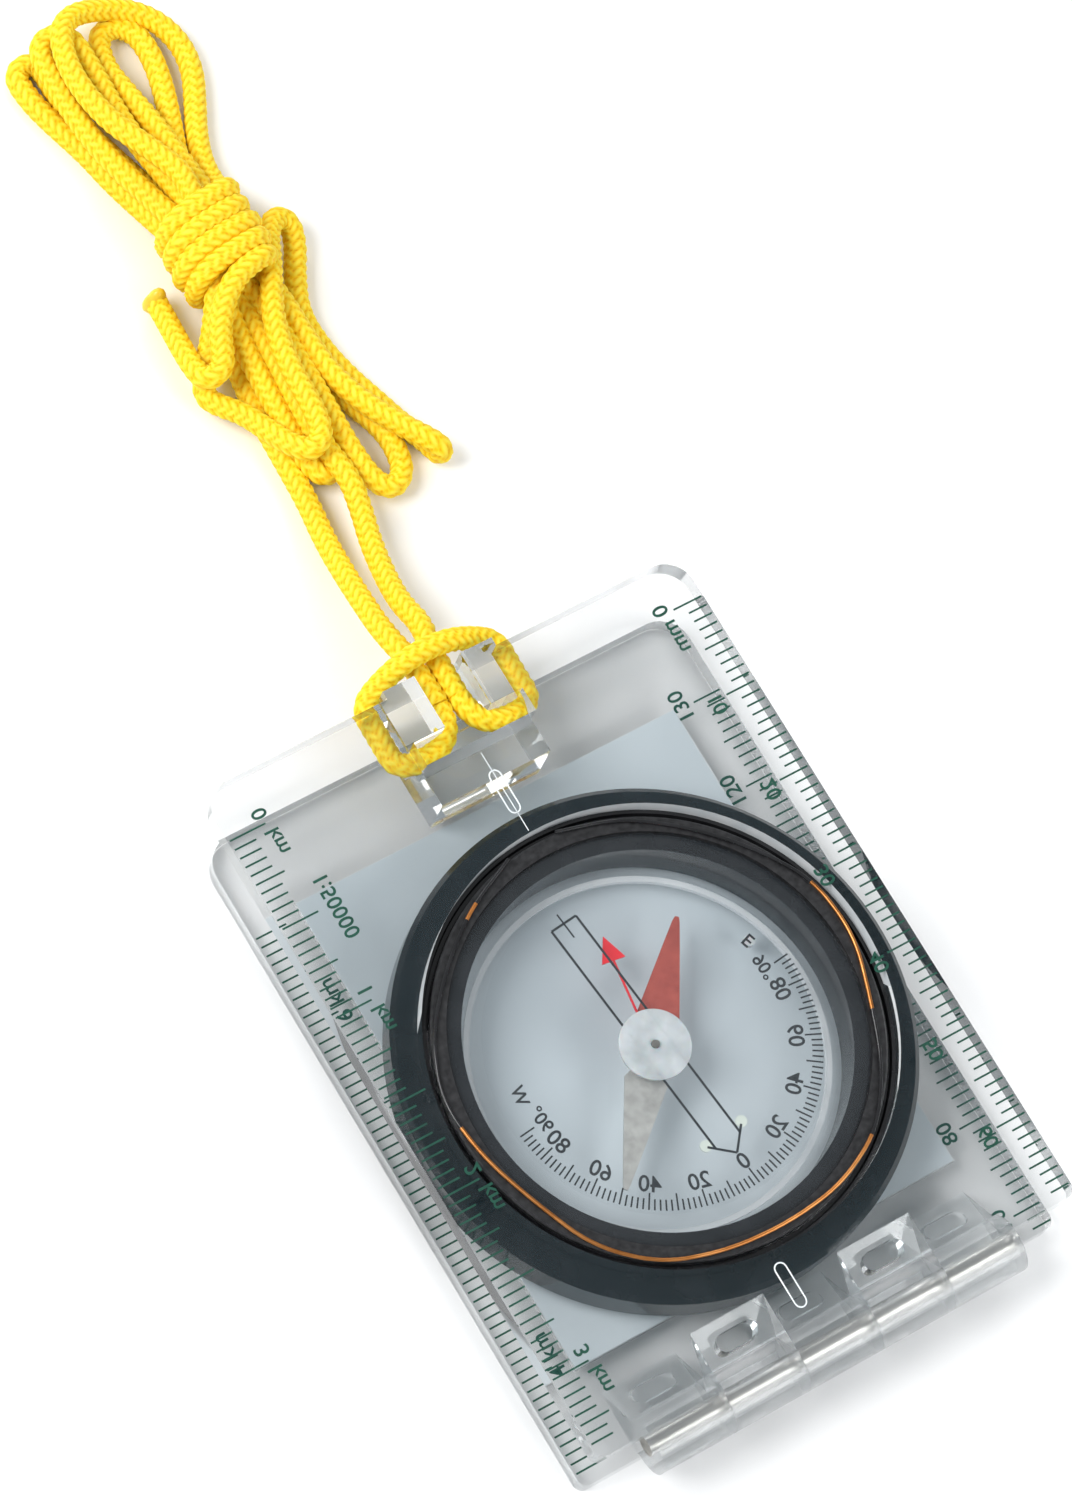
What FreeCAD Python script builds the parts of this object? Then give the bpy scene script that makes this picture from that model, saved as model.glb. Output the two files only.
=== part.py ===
import FreeCAD, Part
import math
import os

import Sketcher
from FreeCAD import Vector

# A folding map compass, closed and lying on its lid, so that the underside of its base is on top.
# Millimetres. X runs across the leaves, Y from the hinge to the free edge, Z up from the lid's face.
# Every turned piece of the dial is drawn about its own Z axis and placed at the dial's centre.

DRIVING = {
    # leaves
    "leaf_width": 55.0, "closed_height": 11.0, "base_thickness": 2.4, "lid_thickness": 2.2,
    "free_edge": 38.3, "lid_edge": 35.5, "corner_radius": 3.2, "end_corner_radius": 1.0,
    # hinge
    "hinge_place": -36.2, "barrel_radius": 3.0, "pin_radius": 1.05, "knuckle_pitch": 8.45,
    "knuckle_gap": 0.1, "base_end": -35.8, "lid_end": -36.4, "pin_fit": 0.01, "bore_fit": 0.05,
    "gusset_foot": 6.9,
    "slot_length": 4.6, "slot_width": 1.9, "slot_depth": 0.7,
    # mirror
    "mirror_width": 44.0, "mirror_near": -26.2, "mirror_far": 26.5, "mirror_thickness": 0.8,
    "mirror_fit": 0.05,
    # lanyard block
    "block_width": 12.5, "block_near": 27.0, "block_far": 39.2, "block_floor": 2.3,
    "groove_width": 5.3, "channel_near": 30.7, "channel_far": 33.3, "channel_floor": 6.2,
    # dial
    "dial_place": -3.2, "dial_turn": 6.0, "hole_radius": 23.4, "running_fit": 0.05,
    "bezel_radius": 26.0, "bezel_bottom": 3.4, "bezel_top": 8.5, "bezel_rim": 9.2,
    "capsule_radius": 20.8, "wall_radius": 19.2, "cavity_radius": 18.2, "capsule_bottom": 2.9,
    "capsule_top": 10.0, "window_thickness": 1.1, "floor_thickness": 2.2,
    "clamp_radius": 22.4, "clamp_top": 10.05,
    "wire_radius": 0.2, "wire_swing": 0.85,
    "disc_radius": 17.0, "disc_thickness": 0.25, "dot_radius": 0.6,
    # moving pieces inside the capsule
    "boss_radius": 3.6, "boss_step": 2.3, "pivot_radius": 0.4, "needle_north": 14.0,
    "needle_south": 14.6, "needle_half": 1.95, "needle_level": 5.9, "needle_thickness": 0.25,
    "needle_turn": -42.0, "arrow_level": 6.35, "arrow_reach": 12.0, "arrow_turn": -7.5,
    # lanyard
    "cord_diameter": 2.1, "hank_height": 4.4, "wrap_height": 6.4,
}

doc = FreeCAD.newDocument("compass")
sheet = doc.addObject("Spreadsheet::Sheet", "Sheet")


class Size:
    """A length that knows its value and the spreadsheet expression that gives it."""

    def __init__(self, value, text):
        self.value = value
        self.text = text

    def __add__(self, other):
        other = as_size(other)
        return Size(self.value + other.value, f"({self.text} + {other.text})")

    def __sub__(self, other):
        other = as_size(other)
        return Size(self.value - other.value, f"({self.text} - {other.text})")

    def __mul__(self, factor):
        return Size(self.value * factor, f"({self.text} * {factor})")

    def __truediv__(self, divisor):
        return Size(self.value / divisor, f"({self.text} / {divisor})")

    def __neg__(self):
        return Size(-self.value, f"(-1 * {self.text})")


def as_size(number):
    return number if isinstance(number, Size) else Size(float(number), f"{float(number)}")


def fill_sheet():
    sizes = {}
    for row, (name, value) in enumerate(DRIVING.items(), start=1):
        sheet.set(f"A{row}", name)
        sheet.set(f"B{row}", str(value))
        sheet.setAlias(f"B{row}", name)
        sizes[name] = Size(value, f"Sheet.{name}")
    doc.recompute()
    return sizes


S = fill_sheet()


def bind(obj, prop, size):
    obj.setExpression(prop, as_size(size).text)


def named(obj, label):
    obj.Label = label
    return obj


# Part primitives, with their lowest corner or base centre bound to the sheet.

def block(name, x, y, z):
    """A box between two sizes along each axis."""
    box = doc.addObject("Part::Box", name)
    for prop, (low, high) in (("Length", x), ("Width", y), ("Height", z)):
        bind(box, prop, as_size(high) - low)
    for axis, (low, high) in (("x", x), ("y", y), ("z", z)):
        bind(box, f"Placement.Base.{axis}", low)
    return box


def rod(name, radius, length, x, y, z, along_x=False):
    cylinder = doc.addObject("Part::Cylinder", name)
    bind(cylinder, "Radius", radius)
    bind(cylinder, "Height", length)
    if along_x:
        cylinder.Placement = FreeCAD.Placement(Vector(), FreeCAD.Rotation(Vector(0, 1, 0), 90))
    for axis, size in (("x", x), ("y", y), ("z", z)):
        bind(cylinder, f"Placement.Base.{axis}", size)
    return cylinder


def fuse(name, shapes):
    result = doc.addObject("Part::MultiFuse", name)
    result.Shapes = shapes
    result.Refine = True
    return result


# PartDesign bodies, whose sketches have every corner held by the sheet.

def plane(body, role):
    return next(f for f in body.Origin.OriginFeatures if f.Role == role)


def sketch_on(body, role, name, lift=0):
    sketch = body.newObject("Sketcher::SketchObject", name)
    sketch.AttachmentSupport = [(plane(body, role), "")]
    sketch.MapMode = "FlatFace"
    bind(sketch, "AttachmentOffset.Base.z", lift)
    return sketch


def hold(sketch, geometry, position, x, y):
    """Fixes a point of the sketch at sizes measured from its origin."""
    for kind, size in (("DistanceX", as_size(x)), ("DistanceY", as_size(y))):
        index = sketch.addConstraint(
            Sketcher.Constraint(kind, -1, 1, geometry, position, size.value)
        )
        sketch.setExpression(f"Constraints[{index}]", size.text)


def outline(sketch, corners):
    """A closed outline of straight sides through corners given as pairs of sizes."""
    places = [Vector(as_size(x).value, as_size(y).value, 0) for x, y in corners]
    first = sketch.GeometryCount
    for a, b in zip(places, places[1:] + places[:1]):
        sketch.addGeometry(Part.LineSegment(a, b), False)
    count = len(places)
    for i, (x, y) in enumerate(corners):
        before = first + (i - 1) % count
        sketch.addConstraint(Sketcher.Constraint("Coincident", before, 2, first + i, 1))
        hold(sketch, first + i, 1, x, y)


def circle(sketch, radius, x=0, y=0):
    centre = Vector(as_size(x).value, as_size(y).value, 0)
    index = sketch.addGeometry(
        Part.Circle(centre, Vector(0, 0, 1), as_size(radius).value), False
    )
    constraint = sketch.addConstraint(
        Sketcher.Constraint("Radius", index, as_size(radius).value)
    )
    sketch.setExpression(f"Constraints[{constraint}]", as_size(radius).text)
    hold(sketch, index, 3, x, y)


def new_body(label):
    return named(doc.addObject("PartDesign::Body", label), label)


def pad(body, sketch, length):
    feature = body.newObject("PartDesign::Pad", "Pad_" + sketch.Name)
    feature.Profile = sketch
    bind(feature, "Length", length)
    sketch.Visibility = False
    return feature


def pocket(body, sketch, length, midplane=False, up=False):
    feature = body.newObject("PartDesign::Pocket", "Pocket_" + sketch.Name)
    feature.Profile = sketch
    bind(feature, "Length", length)
    feature.Midplane = midplane
    feature.Reversed = up
    sketch.Visibility = False
    return feature


def round_upright_edges(body, base, corners, radius):
    """Rounds the upright edges of a flat plate that stand at the given corners."""
    doc.recompute()
    names = []
    for i, edge in enumerate(base.Shape.Edges, start=1):
        a, b = (vertex.Point for vertex in edge.Vertexes)
        upright = abs(a.x - b.x) < 1e-6 and abs(a.y - b.y) < 1e-6
        near = any(abs(a.x - x) < 1e-6 and abs(a.y - y) < 1e-6 for x, y in corners)
        if upright and near:
            names.append(f"Edge{i}")
    feature = body.newObject("PartDesign::Fillet", "Fillet_" + base.Name)
    feature.Base = (base, names)
    bind(feature, "Radius", radius)
    return feature


def turned(label, profile, turn=0):
    """A body turned about the dial's axis from pairs of radius and height."""
    body = new_body(label)
    sketch = sketch_on(body, "XZ_Plane", label + "_profile")
    outline(sketch, profile)
    feature = body.newObject("PartDesign::Revolution", label + "_turned")
    feature.Profile = sketch
    feature.ReferenceAxis = (sketch, ["V_Axis"])
    feature.Angle = 360
    place_at_dial(body, turn)
    return body


def place_at_dial(body, turn=0):
    body.Placement = FreeCAD.Placement(Vector(), FreeCAD.Rotation(Vector(0, 0, 1), 1))
    bind(body, "Placement.Base.y", S["dial_place"])
    bind(body, "Placement.Rotation.Angle", turn)


def ring(label, inner, outer, bottom, top):
    return turned(label, [(inner, bottom), (outer, bottom), (outer, top), (inner, top)])


# Heights and places that several pieces share.

half_width = S["leaf_width"] / 2
base_under = S["closed_height"] - S["base_thickness"]
axis_height = S["closed_height"] / 2
knuckle_length = S["knuckle_pitch"] - S["knuckle_gap"]
gusset_end = S["hinge_place"] + S["gusset_foot"]
capsule_floor = S["capsule_top"] - S["floor_thickness"]
window_top = S["capsule_bottom"] + S["window_thickness"]
disc_top = capsule_floor - 0.02
disc_under = disc_top - S["disc_thickness"]
boss_under = disc_under - 0.8
tube_radius = S["cord_diameter"] / 2


# The two leaves.

def plate(body, near, far, bottom, thickness):
    """A flat leaf with large round corners at its free edge and small ones at the hinge."""
    sketch = sketch_on(body, "XY_Plane", body.Name + "_outline", bottom)
    outline(sketch, [(-half_width, near), (half_width, near), (half_width, far),
                     (-half_width, far)])
    flat = pad(body, sketch, thickness)
    sides = (-half_width.value, half_width.value)
    rounded = round_upright_edges(body, flat, [(x, far.value) for x in sides], S["corner_radius"])
    round_upright_edges(body, rounded, [(x, near.value) for x in sides], S["end_corner_radius"])


def knuckles(body, first, count, plate_end, plate_face, inward):
    """Barrels on tapered gussets. plate_face is the height of the leaf's inner face."""
    bite = plate_face + inward * 0.3
    y, z = S["hinge_place"], axis_height
    outer = S["barrel_radius"] - 0.02
    for i in range(count):
        start = (first + 2 * i - 2.5) * 1.0
        low = S["knuckle_pitch"] * start + S["knuckle_gap"] / 2
        gusset = sketch_on(body, "YZ_Plane", f"{body.Name}_gusset_{i + 1}", low)
        outline(gusset, [(y, z), (y + outer, z), (gusset_end, plate_face), (gusset_end, bite),
                         (plate_end, bite), (y, z + outer * inward)])
        pad(body, gusset, knuckle_length)
        barrel = sketch_on(body, "YZ_Plane", f"{body.Name}_barrel_{i + 1}", low)
        circle(barrel, S["barrel_radius"], y, z)
        pad(body, barrel, knuckle_length)


def recesses(body, first, count, height, up):
    """The round-ended recess that cores out each gusset, sunk into its sloping face."""
    place = S["hinge_place"] + 4.6
    reach = S["slot_width"] / 2
    half = S["slot_length"] / 2 - reach
    for i in range(count):
        middle = S["knuckle_pitch"] * ((first + 2 * i - 2) * 1.0)
        sketch = sketch_on(body, "XY_Plane", f"{body.Name}_recess_{i + 1}", height)
        corners = []
        for side, first_angle in ((1, -90), (-1, 90)):
            for angle in range(first_angle, first_angle + 181, 30):
                across = round(math.cos(math.radians(angle)), 4)
                along = round(math.sin(math.radians(angle)), 4)
                corners.append((middle + half * side + reach * across, place + reach * along))
        outline(sketch, corners)
        pocket(body, sketch, S["slot_depth"] * 3, up=up)


def pin_bore(body, radius):
    sketch = sketch_on(body, "YZ_Plane", body.Name + "_bore")
    circle(sketch, radius, S["hinge_place"], axis_height)
    pocket(body, sketch, S["leaf_width"], midplane=True)


def base_plate():
    body = new_body("base_plate")
    plate(body, S["base_end"], S["free_edge"], base_under, S["base_thickness"])
    knuckles(body, 1, 2, S["base_end"], base_under, 1)
    recesses(body, 1, 2, base_under - 2.6, up=True)
    pin_bore(body, S["pin_radius"] + S["bore_fit"])

    hole = sketch_on(body, "XY_Plane", "dial_hole", S["closed_height"])
    circle(hole, S["hole_radius"], 0, S["dial_place"])
    pocket(body, hole, S["base_thickness"])

    side = S["block_width"] / 2
    lug = sketch_on(body, "XY_Plane", "lanyard_block", S["block_floor"])
    outline(lug, [(-side, S["block_near"]), (side, S["block_near"]),
                  (side, S["block_far"]), (-side, S["block_far"])])
    pad(body, lug, S["closed_height"] - S["block_floor"])

    channel = sketch_on(body, "YZ_Plane", "lanyard_channel")
    outline(channel, [(S["channel_near"], S["channel_floor"]),
                      (S["channel_far"], S["channel_floor"]),
                      (S["channel_far"], S["closed_height"]),
                      (S["channel_near"], S["closed_height"])])
    pocket(body, channel, S["block_width"], midplane=True)

    groove = sketch_on(body, "XZ_Plane", "lanyard_groove", -S["block_far"])
    reach = S["groove_width"] / 2
    outline(groove, [(-reach, S["channel_floor"] + 0.7), (reach, S["channel_floor"] + 0.7),
                     (reach, S["closed_height"]), (-reach, S["closed_height"])])
    pocket(body, groove, S["block_far"] - S["channel_far"], up=True)
    return body


def lid_plate():
    body = new_body("lid_plate")
    plate(body, S["lid_end"], S["lid_edge"], as_size(0), S["lid_thickness"])
    knuckles(body, 0, 3, S["base_end"], S["lid_thickness"], -1)
    recesses(body, 0, 3, S["lid_thickness"] + 2.6, up=False)
    pin_bore(body, S["pin_radius"] + S["pin_fit"])

    seat = sketch_on(body, "XY_Plane", "mirror_seat", S["lid_thickness"])
    side = S["mirror_width"] / 2 + S["mirror_fit"]
    near, far = S["mirror_near"] - S["mirror_fit"], S["mirror_far"] + S["mirror_fit"]
    outline(seat, [(-side, near), (side, near), (side, far), (-side, far)])
    pocket(body, seat, S["mirror_thickness"])
    return body


def mirror():
    side = S["mirror_width"] / 2
    return block("mirror", (-side, side), (S["mirror_near"], S["mirror_far"]),
                 (S["lid_thickness"] - S["mirror_thickness"], S["lid_thickness"]))


def hinge_pin():
    length = S["knuckle_pitch"] * 5 - S["knuckle_gap"]
    return rod("hinge_pin", S["pin_radius"], length, -(length / 2), S["hinge_place"],
               axis_height, along_x=True)


# The dial.

def bezel_ring():
    """A flange that is gripped between the leaves, and a neck that turns in the base's hole."""
    neck = S["hole_radius"] - S["running_fit"]
    inner = S["wall_radius"] + 0.05
    edge = S["bezel_radius"]
    return turned("bezel_ring", [
        (inner, S["bezel_bottom"] + 0.6), (inner + 0.6, S["bezel_bottom"]),
        (edge - 0.8, S["bezel_bottom"]), (edge, S["bezel_bottom"] + 0.8),
        (edge, S["bezel_top"] - 0.5), (edge - 0.5, S["bezel_top"]),
        (neck, S["bezel_top"]), (neck, S["bezel_rim"]), (neck - 0.35, S["bezel_rim"]),
        (neck - 0.5, S["bezel_rim"] - 0.5), (S["clamp_radius"] + 0.1, S["bezel_rim"] - 0.5),
        (S["clamp_radius"], S["bezel_rim"]), (inner, S["bezel_rim"]),
    ], S["dial_turn"])


def clamp_ring():
    inner = S["capsule_radius"] + 0.05
    bevel = 0.2
    return turned("clamp_ring", [
        (inner, S["bezel_rim"]), (S["clamp_radius"], S["bezel_rim"]),
        (S["clamp_radius"], S["clamp_top"] - bevel), (S["clamp_radius"] - bevel, S["clamp_top"]),
        (inner, S["clamp_top"]),
    ])


def capsule_base():
    """The clear cup with a thick floor that faces the map and a flange on the bezel's rim."""
    cavity, wall, edge = S["cavity_radius"], S["wall_radius"], S["capsule_radius"]
    return turned("capsule_base", [
        (0, capsule_floor), (cavity, capsule_floor), (cavity, window_top), (wall, window_top),
        (wall, S["bezel_rim"] + 0.02), (edge, S["bezel_rim"] + 0.02),
        (edge, S["capsule_top"] - 0.3), (edge - 0.3, S["capsule_top"]), (0, S["capsule_top"]),
    ], S["dial_turn"])


def capsule_window():
    """The clear disc that is read from the lid's side, with its rim bevelled."""
    outer = S["wall_radius"]
    return turned("capsule_window", [
        (0, S["capsule_bottom"]), (outer - 0.5, S["capsule_bottom"]),
        (outer, S["capsule_bottom"] + 0.5), (outer, window_top), (0, window_top),
    ])


def capsule_seal():
    return ring("capsule_seal", S["cavity_radius"] - 0.6, S["cavity_radius"] - 0.02,
                window_top + 0.02, window_top + 0.6)


def filler_plug():
    return rod("filler_plug", 0.6, 0.7, 15.0, S["dial_place"] + 5.2, window_top)


def scale_disc():
    return ring("scale_disc", S["pivot_radius"] + 0.1, S["disc_radius"], disc_under, disc_top)


def luminous_dots():
    dots = [
        rod(f"dot_{i + 1}", S["dot_radius"], 0.1, x, y, disc_under - 0.13)
        for i, (x, y) in enumerate(((3.4, -13.7), (-1.0, -14.2)))
    ]
    return named(fuse("luminous_dots", dots), "luminous_dots")


def pivot_boss():
    bore = S["pivot_radius"] + 0.02
    step = disc_under - 0.35
    return turned("pivot_boss", [
        (bore, boss_under), (S["boss_step"], boss_under), (S["boss_step"], step),
        (S["boss_radius"], step), (S["boss_radius"], disc_under), (bore, disc_under),
    ])


def pivot_pin():
    """A steel pin with a pointed end that the jewel turns on."""
    point = S["needle_level"] + 0.15
    return turned("pivot_pin", [
        (0, point), (S["pivot_radius"], point + 0.5),
        (S["pivot_radius"], disc_top), (0, disc_top),
    ])


def flat_piece(label, corners, bore, level, thickness, turn):
    """A thin flat piece with a round bore on the dial's axis."""
    body = new_body(label)
    sketch = sketch_on(body, "XY_Plane", label + "_outline", level)
    outline(sketch, corners)
    circle(sketch, bore, 0, 0)
    pad(body, sketch, thickness)
    place_at_dial(body, turn)
    return body


def needle():
    """Widest beside the hub, with long straight flanks and a blunt point at each end."""
    half, north, south = S["needle_half"], S["needle_north"], S["needle_south"]
    flank = [(half, as_size(3.4)), (half * 0.42, north - 2.2), (half * 0.2, north - 0.3)]
    tail = [(half * 0.2, -(south - 0.3)), (half * 0.45, -(south - 2.4)), (half, as_size(-3.4))]
    right = tail + flank
    left = [(-x, y) for x, y in reversed(right)]
    return flat_piece("needle", right + left, 1.02, S["needle_level"], S["needle_thickness"],
                      S["needle_turn"])


def needle_hub():
    """The brass collar that carries the needle, with the jewel's seat in its top."""
    low, level = S["needle_level"] - 0.4, S["needle_level"]
    return turned("needle_hub", [
        (0, low), (1.7, low), (1.7, level - 0.01), (1.0, level - 0.01), (1.0, level + 0.35),
        (0.55, level + 0.35), (0.55, level - 0.15), (0, level - 0.15),
    ])


def jewel_bearing():
    level = S["needle_level"]
    return turned("jewel_bearing", [
        (0, level - 0.14), (0.53, level - 0.14), (0.53, level + 0.12), (0, level + 0.02),
    ])


def clinometer_arrow():
    """A light pointer that hangs free on the pivot, with a triangular head."""
    reach = S["arrow_reach"]
    right = [(as_size(1.1), as_size(-1.6)), (as_size(1.6), as_size(0.6)),
             (as_size(0.1), as_size(2.6)), (as_size(0.1), reach - 2.6),
             (as_size(1.25), reach - 2.6)]
    left = [(-x, y) for x, y in reversed(right)]
    return flat_piece("clinometer_arrow", right + [(as_size(0), reach)] + left, 0.5,
                      S["arrow_level"], 0.2, S["arrow_turn"])


# Cords and wire: straight runs joined by tangent arcs, as wide as the runs allow.

def rounded_path(points, share=0.45):
    """Edges through the points, each corner an arc of share of its shorter run."""
    edges, radii, start = [], [], points[0]
    for before, corner, after in zip(points, points[1:], points[2:]):
        back, on = before - corner, after - corner
        turn = math.pi - back.getAngle(on)
        trim = share * min(back.Length, on.Length)
        radius = trim / math.tan(turn / 2)
        back.normalize()
        on.normalize()
        first, last = corner + back * trim, corner + on * trim
        inward = back + on
        inward.normalize()
        centre_distance = math.hypot(trim, radius)
        middle = corner + inward * (centre_distance - radius)
        edges.append(Part.LineSegment(start, first).toShape())
        edges.append(Part.Arc(first, middle, last).toShape())
        radii.append(radius)
        start = last
    edges.append(Part.LineSegment(start, points[-1]).toShape())
    return edges, radii


def tube(label, points, radius):
    places = [Vector(*p) for p in points]
    edges, radii = rounded_path(places)
    path = Part.Wire(edges)
    direction = places[1] - places[0]
    profile = Part.Wire(Part.Circle(places[0], direction, radius).toShape())
    shape = path.makePipeShell([profile], True, False)
    wanted = math.pi * radius ** 2 * path.Length
    print(f"{label}: length {path.Length:.1f}, smallest radius {min(radii):.2f},"
          f" volume {shape.Volume / wanted:.4f} of section times length")
    feature = doc.addObject("Part::Feature", label)
    feature.Shape = shape
    return feature


def friction_wire():
    """The springy wire that steadies the bezel: five uneven waves, open at one place."""
    middle = (sheet.hole_radius + sheet.clamp_radius) / 2 - 0.85
    level = sheet.clamp_top + sheet.wire_radius + 0.02
    waves, first, last = 5, math.radians(100), math.radians(446)
    steps = 4 * waves
    points = []
    for i in range(steps + 1):
        angle = first + (last - first) * i / steps
        swing = sheet.wire_swing * (0.75 + 0.25 * math.sin(2.3 * angle))
        reach = middle + swing * math.cos(i * math.pi / 2 + 0.4)
        points.append((reach * math.cos(angle), reach * math.sin(angle) + sheet.dial_place, level))
    return tube("friction_wire", points, sheet.wire_radius)


def lay(x, y, height=None):
    """A point of a cord, resting on the ground where no height is given."""
    return (x, y, sheet.cord_diameter / 2 if height is None else height)


STRAND_LEVEL = 8.15
LEG_LEVEL = 7.2

LEFT_STRAND = [
    (-1.15, 36.2, STRAND_LEVEL), (-1.15, 41.4, STRAND_LEVEL), (-1.5, 45.6, 6.9),
    (-0.95, 50.0, 4.9), (-0.5, 54.4, 2.9), (0.1, 58.8, 1.4), (0.8, 62.8, 1.15),
]
RIGHT_STRAND = [
    (1.15, 36.2, STRAND_LEVEL), (1.15, 41.2, STRAND_LEVEL), (2.1, 45.2, 6.9),
    (2.2, 49.4, 5.0), (3.1, 53.8, 3.0), (4.5, 58.2, 1.4), (5.9, 62.6, 1.15),
]
HALF_HITCH = [
    (1.15, 36.2, STRAND_LEVEL), (1.15, 32.35, STRAND_LEVEL), (7.8, 32.0, LEG_LEVEL),
    (7.75, 36.2, LEG_LEVEL), (7.8, 39.6, LEG_LEVEL + 0.3), (5.0, 40.7, 9.0),
    (1.9, 41.2, 10.5),
]
TAIL = [(-1.6, 77.6, 5.47), (-2.2, 81.6, 5.47), (-2.5, 84.2, 4.5), (-2.2, 86.2, 2.9),
        (-1.9, 88.0, 1.5)]
UPPER_HANK = [
    (1.0, 94.4), (-1.9, 104.0), (-4.3, 112.0), (-3.9, 116.6), (-0.8, 118.2), (2.0, 119.2),
    (7.4, 119.7), (12.6, 117.9), (15.3, 113.6), (15.2, 109.4), (12.6, 103.6), (9.2, 98.0),
    (8.9, 94.4),
]
LOWER_HANK = [
    (-1.2, 63.0), (7.4, 63.0), (7.0, 59.4), (9.2, 58.2), (12.0, 60.0), (15.4, 59.4),
    (16.4, 61.6), (12.9, 67.6), (11.0, 75.0), (11.0, 81.6), (15.2, 87.0), (14.6, 90.6),
    (11.6, 90.6), (10.9, 84.4), (0.9, 84.4), (-4.4, 79.0), (-4.6, 75.6), (-1.4, 72.0),
]


def cord_hitch():
    """Both legs of the hitch round the block's posts and the bight that crosses the strands."""
    other = [(-x, y, z) for x, y, z in reversed(HALF_HITCH)]
    return tube("cord_hitch", HALF_HITCH + other, sheet.cord_diameter / 2)


def cord_strand(label, route):
    return tube(label, [lay(*p) for p in route], sheet.cord_diameter / 2)


def hank(label, corners, height):
    """The outer shape of a bundle of cord turns that lies on the ground."""
    body = new_body(label)
    sketch = sketch_on(body, "XY_Plane", label + "_outline")
    outline(sketch, corners)
    pad(body, sketch, height)
    return body


def cord_wrap():
    """The binding turns round the middle of the hank, with its long edges rounded."""
    solid = block("wrap_block", (0.4, 10.4), (84.4, 94.4), (0, S["wrap_height"]))
    solid.Label = "wrap_block"
    doc.recompute()
    rounded = doc.addObject("Part::Fillet", "cord_wrap")
    rounded.Base = solid
    along_y = [i for i, e in enumerate(solid.Shape.Edges, start=1)
               if abs(e.tangentAt(e.FirstParameter).y) > 0.99]
    rounded.Edges = [(i, 2.2, 2.2) for i in along_y]
    return rounded


def cord_tip():
    """The flared, melted end of the tail."""
    cone = doc.addObject("Part::Cone", "cord_tip")
    bind(cone, "Radius1", tube_radius)
    bind(cone, "Radius2", tube_radius * 1.4)
    cone.Height = 1.5
    cone.Placement = FreeCAD.Placement(
        Vector(*TAIL[-1]), FreeCAD.Rotation(Vector(0, 0, 1), Vector(*TAIL[-1]) - Vector(*TAIL[-2]))
    )
    return cone


def build():
    pieces = [
        base_plate(), lid_plate(), mirror(), hinge_pin(), bezel_ring(), clamp_ring(),
        capsule_base(), capsule_window(), capsule_seal(), filler_plug(), scale_disc(),
        luminous_dots(), pivot_boss(), pivot_pin(), needle(), needle_hub(), jewel_bearing(),
        clinometer_arrow(), friction_wire(), cord_hitch(),
        cord_strand("cord_strand_left", LEFT_STRAND),
        cord_strand("cord_strand_right", RIGHT_STRAND),
        hank("cord_hank_upper", UPPER_HANK, S["hank_height"]),
        hank("cord_hank_lower", LOWER_HANK, S["hank_height"]),
        cord_wrap(), tube("cord_tail", TAIL, sheet.cord_diameter / 2), cord_tip(),
    ]
    doc.recompute()
    return pieces


def check(pieces):
    for obj in doc.Objects:
        bad = [state for state in obj.State if state in ("Invalid", "Error")]
        if bad:
            raise RuntimeError(f"{obj.Name} is {bad}: {obj.getStatusString()}")
    for piece in pieces:
        shape = piece.Shape
        if shape.isNull() or not shape.isValid() or shape.Volume <= 0:
            raise RuntimeError(f"{piece.Label} has no valid shape")


def write(pieces):
    os.makedirs("parts", exist_ok=True)
    for piece in pieces:
        piece.Shape.exportStep(f"parts/{piece.Label}.step")
        print(f"{piece.Label}: {len(piece.Shape.Solids)} solids, {piece.Shape.Volume:.1f} mm3")


pieces = build()
check(pieces)
write(pieces)
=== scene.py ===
import math

import bmesh
import bpy
from mathutils import Matrix, Vector


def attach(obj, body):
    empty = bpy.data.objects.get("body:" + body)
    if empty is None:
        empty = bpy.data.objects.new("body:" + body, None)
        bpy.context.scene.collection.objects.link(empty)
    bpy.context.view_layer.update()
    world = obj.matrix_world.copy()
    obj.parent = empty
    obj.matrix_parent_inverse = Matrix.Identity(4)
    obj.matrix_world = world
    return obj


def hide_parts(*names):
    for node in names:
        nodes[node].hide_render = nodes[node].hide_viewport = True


# A folding map compass lying closed on its lid, with its base plate's underside on top.
# Lengths are millimetres in the part's frame, turned into metres by MM. The camera's clipping,
# the floor and the lights are in metres.

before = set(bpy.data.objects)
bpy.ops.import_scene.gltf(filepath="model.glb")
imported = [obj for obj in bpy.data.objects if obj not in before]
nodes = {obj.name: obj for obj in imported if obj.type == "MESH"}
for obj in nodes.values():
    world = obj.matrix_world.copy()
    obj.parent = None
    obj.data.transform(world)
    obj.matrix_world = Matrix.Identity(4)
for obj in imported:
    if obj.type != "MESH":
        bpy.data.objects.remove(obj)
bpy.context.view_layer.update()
MM = 0.001

DIAL_Y = -3.2
DIAL_TURN = 6.0
DIAL_HOLE_RADIUS = 23.4
DIAL_PRINT_LEVEL = 7.49
NEEDLE_TURN = -42.0
NEEDLE_UNDER = 5.9
NEEDLE_TOP = 6.15

BASE_TOP = 11.0
BASE_UNDER = 8.6
LID_TOP = 2.2
LID_UNDER = 0.0
KNUCKLE_LINE = -33.2
# The mirror's face stands just above the floor of the lid's pocket, which is at 1.4.
MIRROR_FACE = 1.43
PRINT_THICKNESS = 0.02

CORD_DIAMETER = 2.35
# The drawn lanyard is thicker than the CAD's, so it is raised to rest on the ground.
LANYARD_LIFT = 0.12
BRAID_COLUMNS = 8
BRAID_PITCH = 1.0
BRAID_SLANT = 0.8
BRAID_SEAM_DEPTH = 0.2
BRAID_RELIEF = 0.26



# Camera

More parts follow.
